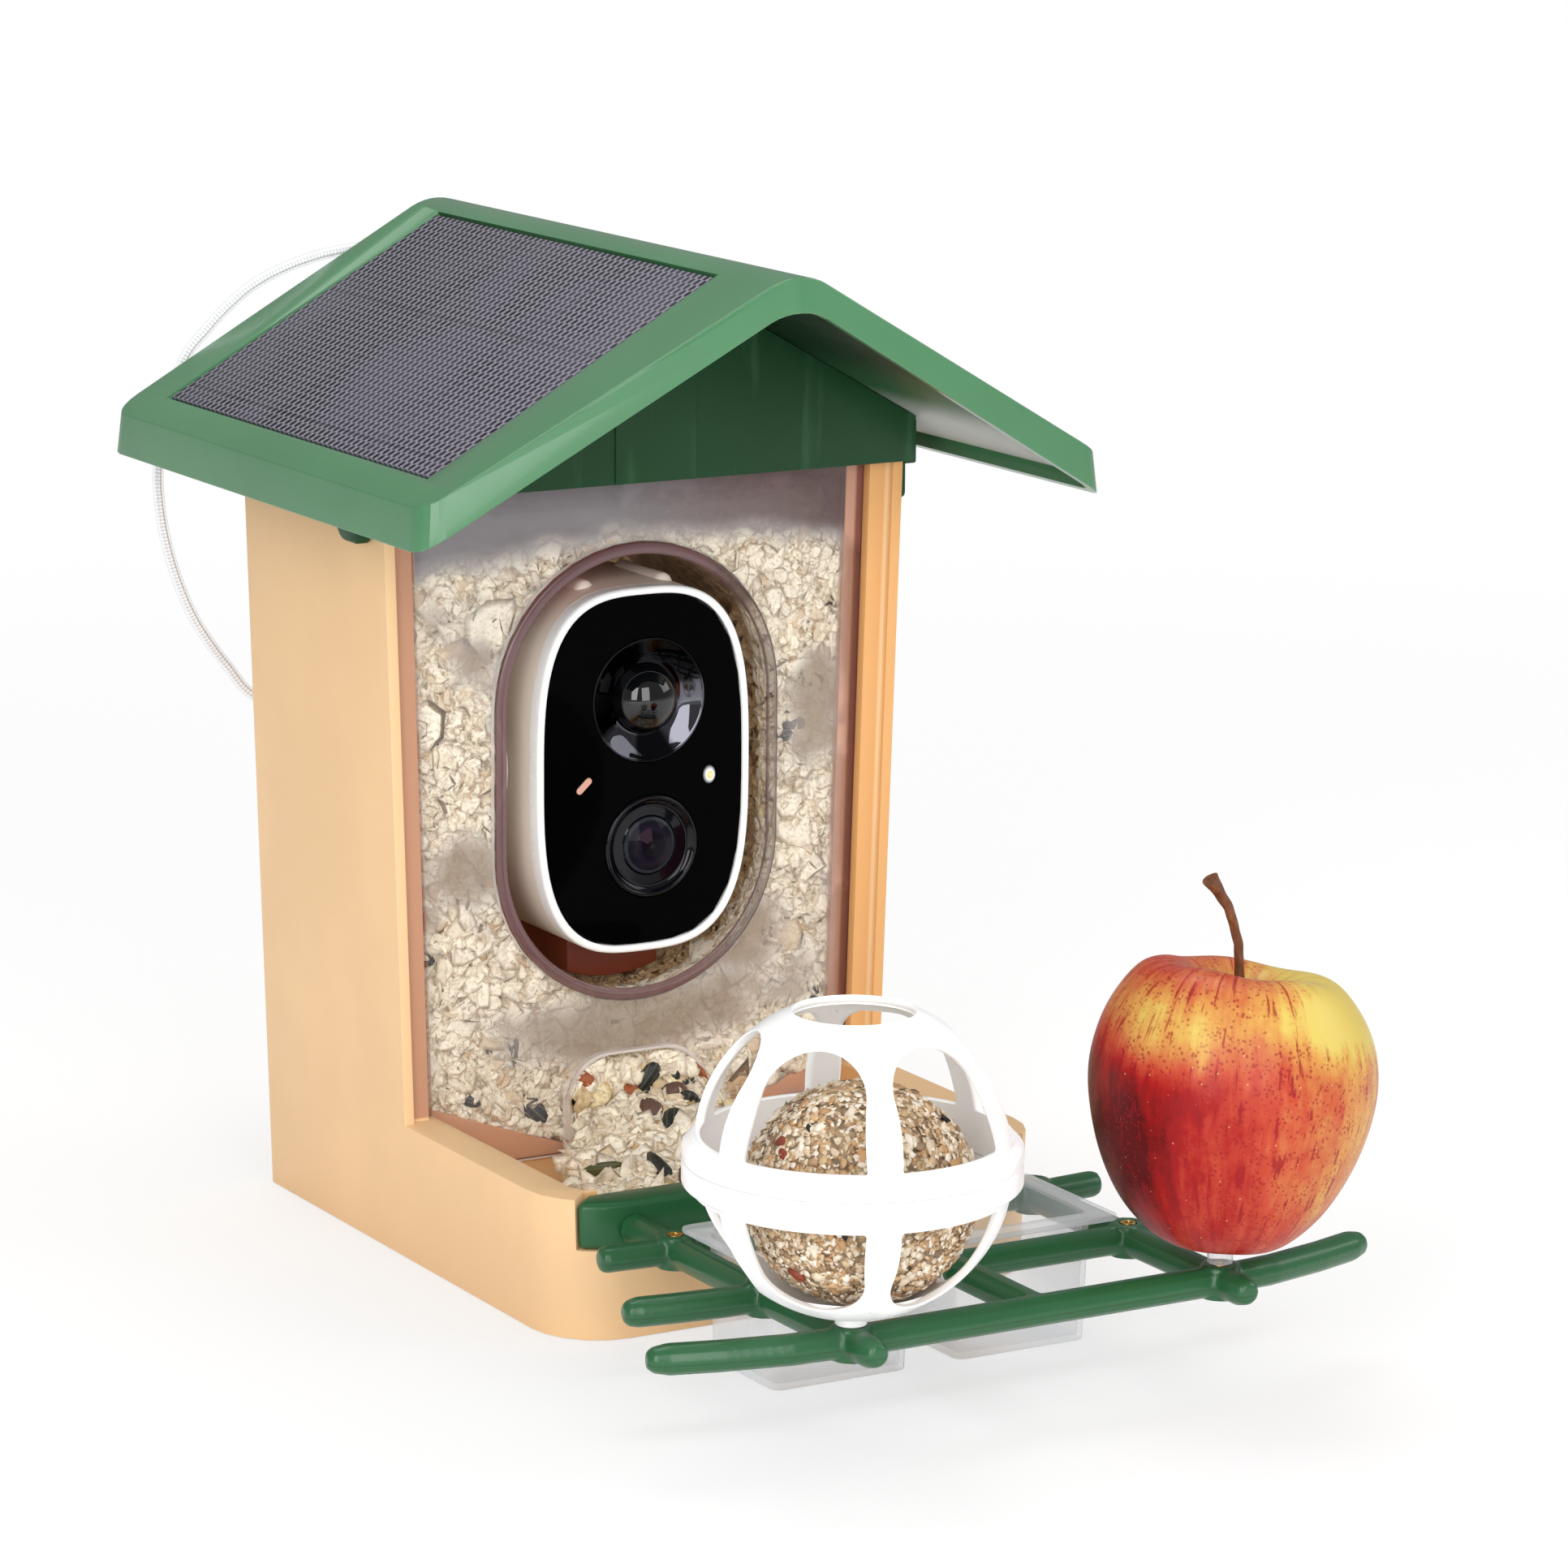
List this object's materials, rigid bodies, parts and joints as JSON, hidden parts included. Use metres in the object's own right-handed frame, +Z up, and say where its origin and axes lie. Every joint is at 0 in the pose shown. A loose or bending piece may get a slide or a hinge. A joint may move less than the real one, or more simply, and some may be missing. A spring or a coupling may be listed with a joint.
{
  "type": "smart bird feeder",
  "caption": "Hopper bird feeder with a front camera in a window well, a lift-off solar roof, and a twig perch carrying clear seed cups, a slotted ball cage and an apple spike.",
  "frame": {"origin": "on the surface that the feeder stands on, midway between its sides, below the front edges of the hopper's side walls", "axes": "+Z up, -Y towards the front, which the camera and the perch face, +X to the right as seen from the front"},
  "size_m": [0.2244, 0.4021, 0.2894],
  "materials": {
    "peach_plastic": "satin moulded",
    "roof_green_plastic": "satin moulded",
    "dark_green_plastic": "satin moulded",
    "clear_plastic": "clear moulded plastic",
    "smoky_plastic": "tinted clear plastic",
    "cream_plastic": "satin",
    "white_plastic": "gloss",
    "black_gloss": "mirror gloss",
    "lens_glass": "coated",
    "copper_light": "satin",
    "lamp_lens": "clear over a lamp",
    "solar_cells": "ribbed",
    "brass": "turned",
    "circuit_board": "resist",
    "battery_wrap": "shrink wrap",
    "seed_mix": "loose flakes and seeds",
    "fat_ball": "pressed seed and fat",
    "apple_skin": "waxy",
    "stem_bark": "rough",
    "cord_sleeve": "clear sleeve over a braid",
    "grey_rubber": "matte"
  },
  "bodies": {
    "housing": {"housing": "peach_plastic", "base_plate": "peach_plastic", "hopper_ramp": "peach_plastic", "front_window": "clear_plastic", "camera_well": "smoky_plastic", "camera_saddle": "grey_rubber", "seed_fill": "seed_mix", "tray_seed": "seed_mix", "cord_grommet_left": "black_gloss", "cord_grommet_right": "black_gloss", "hanging_cord": "cord_sleeve"},
    "roof": {"roof_shell": "roof_green_plastic", "roof_liner": "roof_green_plastic", "front_gable": "dark_green_plastic", "rear_gable": "dark_green_plastic", "roof_rail_left": "dark_green_plastic", "roof_rail_right": "dark_green_plastic", "solar_panel": "solar_cells", "solar_junction_box": "black_gloss"},
    "camera": {"camera_shell": "cream_plastic", "camera_bezel": "white_plastic", "camera_face": "black_gloss", "sensor_collar": "black_gloss", "sensor_dome": "black_gloss", "lens_ring": "black_gloss", "lens_glass": "lens_glass", "lens_barrel": "black_gloss", "spotlight": "lamp_lens", "status_light": "copper_light", "side_cover": "cream_plastic", "main_board": "circuit_board", "battery_pack": "battery_wrap"},
    "perch": {"perch_bar": "dark_green_plastic", "perch_frame": "dark_green_plastic", "apple_spike": "clear_plastic", "thread_insert_1": "brass", "thread_insert_2": "brass", "thread_insert_3": "brass", "thread_insert_4": "brass", "thread_insert_5": "brass", "thread_insert_6": "brass"},
    "cup_left": {"cup_left": "clear_plastic"},
    "cup_right": {"cup_right": "clear_plastic"},
    "cage": {"cage_lower": "white_plastic", "fat_ball": "fat_ball"},
    "cage_lid": {"cage_upper": "white_plastic"},
    "apple": {"apple": "apple_skin", "apple_stem": "stem_bark"}
  },
  "joints": [
    {"name": "roof_lift", "type": "slide", "parent": "housing", "child": "roof", "axis": [0, 0, 1], "range_m": [0, 0.12]},
    {"name": "camera_slide", "type": "slide", "parent": "housing", "child": "camera", "axis": [0, -1, 0], "range_m": [0, 0.06]},
    {"name": "perch_lift", "type": "slide", "parent": "housing", "child": "perch", "axis": [0, 0, 1], "range_m": [0, 0.03]},
    {"name": "cup_left_lift", "type": "slide", "parent": "perch", "child": "cup_left", "axis": [0, 0, 1], "range_m": [0, 0.045]},
    {"name": "cup_right_lift", "type": "slide", "parent": "perch", "child": "cup_right", "axis": [0, 0, 1], "range_m": [0, 0.045]},
    {"name": "cage_spin", "type": "hinge", "parent": "perch", "child": "cage", "pos_m": [-0.0573, -0.2144, 0.0362], "axis": [0, 0, 1], "continuous": true},
    {"name": "cage_twist", "type": "hinge", "parent": "cage", "child": "cage_lid", "pos_m": [-0.0573, -0.2144, 0.0806], "axis": [0, 0, 1], "range_deg": [0, 20]},
    {"name": "apple_lift", "type": "slide", "parent": "perch", "child": "apple", "axis": [0, 0, 1], "range_m": [0, 0.03]}
  ]
}
